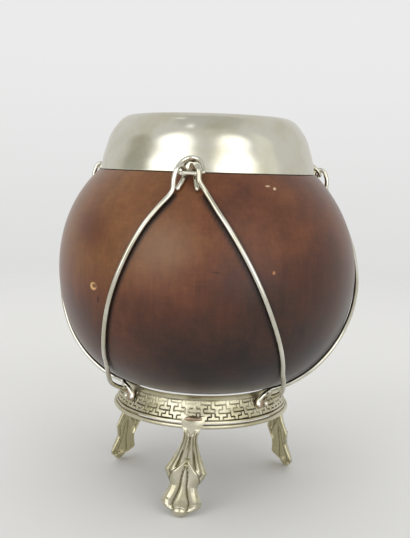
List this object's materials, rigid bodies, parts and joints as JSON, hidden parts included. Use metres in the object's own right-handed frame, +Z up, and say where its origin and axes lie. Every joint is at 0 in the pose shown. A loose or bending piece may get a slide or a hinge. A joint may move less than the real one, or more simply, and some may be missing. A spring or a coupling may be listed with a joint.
{
  "type": "mounted coconut vase",
  "caption": "Polished coconut shell with a raised metal collar over its mouth, tied down by wire stays to a low fretted foot ring on leaf-shaped feet.",
  "frame": {"origin": "on the floor that the toes stand on, under the axis of the shell and the foot ring", "axes": "+Z up along the axis of the shell, -Y towards the foot and the collar ring at the front, +X to the right seen from the front"},
  "size_m": [0.1083, 0.105, 0.1318],
  "materials": {
    "coconut": "satin, polished coconut shell",
    "white_metal": "polished silver-coloured alloy with a light warm tarnish"
  },
  "bodies": {
    "root": {"coconut_shell": "coconut", "collar": "white_metal", "collar_ring_front": "white_metal", "collar_ring_right": "white_metal", "collar_ring_left": "white_metal", "stay_front_ring_to_right_joint": "white_metal", "stay_front_ring_to_left_joint": "white_metal", "stay_right_ring_to_right_joint": "white_metal", "stay_right_ring_to_back_joint": "white_metal", "stay_left_ring_to_left_joint": "white_metal", "stay_left_ring_to_back_joint": "white_metal", "foot_band": "white_metal", "foot_rim_wire": "white_metal", "foot_front": "white_metal", "foot_right": "white_metal", "foot_left": "white_metal"}
  },
  "joints": []
}
